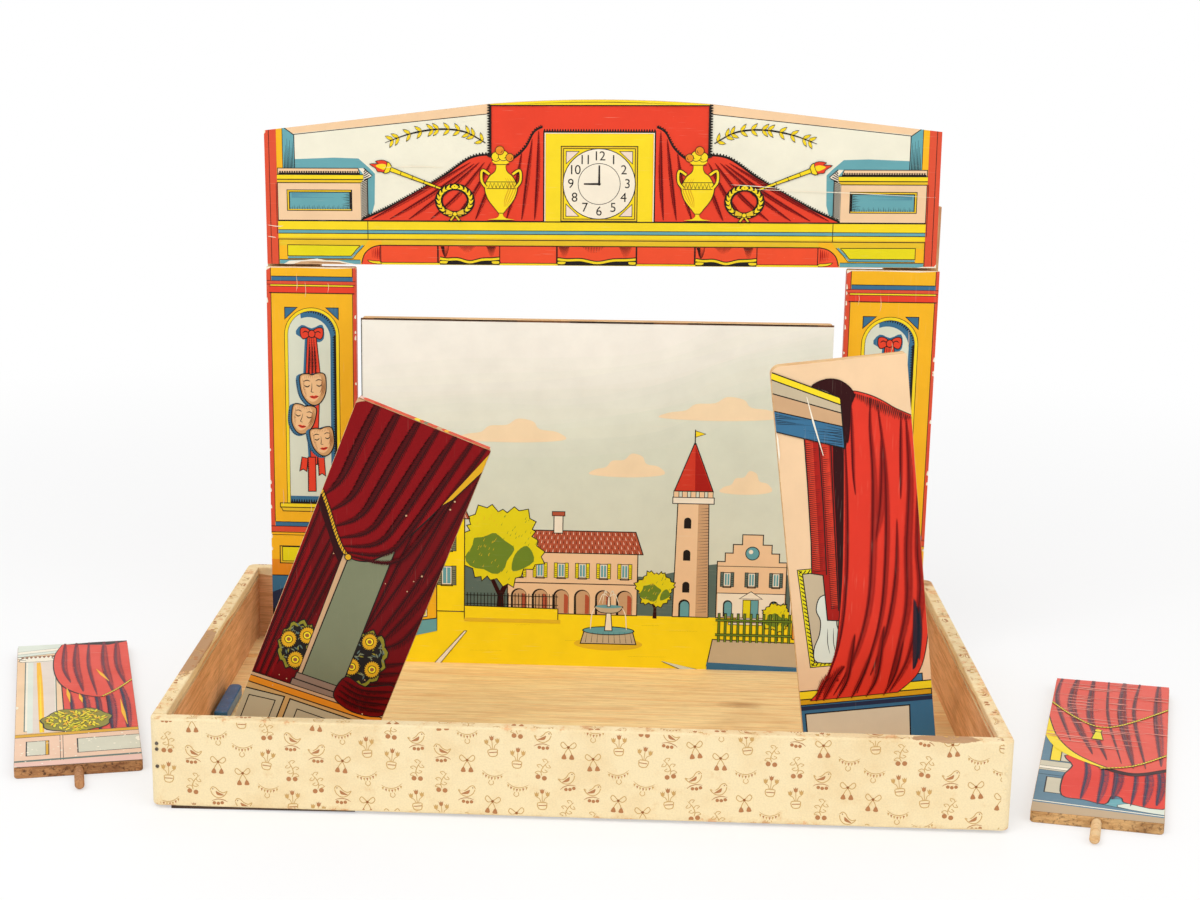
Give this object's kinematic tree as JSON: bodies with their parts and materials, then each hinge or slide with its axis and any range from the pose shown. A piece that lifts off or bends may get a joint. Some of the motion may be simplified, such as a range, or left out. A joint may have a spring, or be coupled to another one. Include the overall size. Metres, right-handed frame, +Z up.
{
  "type": "toy puppet theatre",
  "caption": "Shallow wooden tray that serves as a toy stage, with a lift-off proscenium, a backdrop board in a groove, leaning side wings and spare wings lying beside it.",
  "frame": {"origin": "middle of the underside of the tray, on the ground", "axes": "+Z up, +X to the audience's right, and the audience sits on the -Y side"},
  "size_m": [0.9084, 0.3746, 0.447],
  "materials": {
    "pale_wood": "bare planed pine, a little stained",
    "bare_wood": "bare brown pine",
    "peg_wood": "bare turned dowel",
    "papered_wood": "wood covered with cream paper with a small tan pattern outside, bare inside",
    "printed_pilaster": "colour-printed paper on wood, orange yellow with red edges and a pale niche",
    "printed_pediment": "colour-printed paper on wood, red, yellow, pale sky and peach",
    "printed_backdrop": "colour-printed paper on wood, pale grey-green sky over a yellow square",
    "printed_wing_left": "colour-printed paper on wood, dark red curtain and a grey column",
    "printed_wing_right": "colour-printed paper on wood, red curtain on a peach wall",
    "printed_spare_left": "colour-printed paper on wood, red curtain and a pale column",
    "printed_spare_right": "colour-printed paper on wood, red curtain over a blue base",
    "blue_paint": "blue gloss paint with a pale rim",
    "nail_steel": "dull wire nail"
  },
  "bodies": {
    "tray": {"tray_bottom": "pale_wood", "tray_front_wall": "papered_wood", "tray_back_wall": "papered_wood", "tray_left_wall": "papered_wood", "tray_right_wall": "papered_wood", "nail_front_left_1": "nail_steel", "nail_front_left_2": "nail_steel", "nail_front_left_3": "nail_steel", "nail_front_right_1": "nail_steel", "nail_front_right_2": "nail_steel", "nail_front_right_3": "nail_steel", "nail_back_left_1": "nail_steel", "nail_back_left_2": "nail_steel", "nail_back_left_3": "nail_steel", "nail_back_right_1": "nail_steel", "nail_back_right_2": "nail_steel", "nail_back_right_3": "nail_steel"},
    "left_side": {"pilaster_left": "printed_pilaster", "batten_left": "bare_wood"},
    "right_side": {"pilaster_right": "printed_pilaster", "batten_right": "bare_wood"},
    "pediment": {"pediment_board": "printed_pediment", "pediment_keeper_left": "bare_wood", "pediment_keeper_right": "bare_wood"},
    "backdrop": {"backdrop_board": "printed_backdrop"},
    "wing_left": {"wing_left_board": "printed_wing_left", "wing_left_peg": "peg_wood"},
    "wing_right": {"wing_right_board": "printed_wing_right", "wing_right_peg": "peg_wood"},
    "spare_wing_left": {"spare_wing_left_board": "printed_spare_left", "spare_wing_left_peg": "peg_wood"},
    "spare_wing_right": {"spare_wing_right_board": "printed_spare_right", "spare_wing_right_peg": "peg_wood"},
    "loose_piece": {"loose_painted_piece": "blue_paint"}
  },
  "joints": [
    {"name": "left_side_lift", "type": "slide", "parent": "tray", "child": "left_side", "axis": [0, 0, 1], "range_m": [0, 0.08]},
    {"name": "right_side_lift", "type": "slide", "parent": "tray", "child": "right_side", "axis": [0, 0, 1], "range_m": [0, 0.08]},
    {"name": "pediment_lift", "type": "slide", "parent": "left_side", "child": "pediment", "axis": [0, 0, 1], "range_m": [0, 0.06]},
    {"name": "backdrop_lift", "type": "slide", "parent": "tray", "child": "backdrop", "axis": [0, 0, 1], "range_m": [0, 0.1]},
    {"name": "wing_left_lift", "type": "slide", "parent": "tray", "child": "wing_left", "axis": [0, 0, 1], "range_m": [0, 0.1]},
    {"name": "wing_right_lift", "type": "slide", "parent": "tray", "child": "wing_right", "axis": [0, 0, 1], "range_m": [0, 0.1]},
    {"name": "spare_wing_left_lift", "type": "slide", "parent": "tray", "child": "spare_wing_left", "axis": [0, 0, 1], "range_m": [0, 0.1]},
    {"name": "spare_wing_right_lift", "type": "slide", "parent": "tray", "child": "spare_wing_right", "axis": [0, 0, 1], "range_m": [0, 0.1]},
    {"name": "loose_piece_lift", "type": "slide", "parent": "tray", "child": "loose_piece", "axis": [0, 0, 1], "range_m": [0, 0.1]}
  ],
  "couplings": [
    {"joint": "right_side_lift", "follows": "left_side_lift", "ratio": 1}
  ]
}
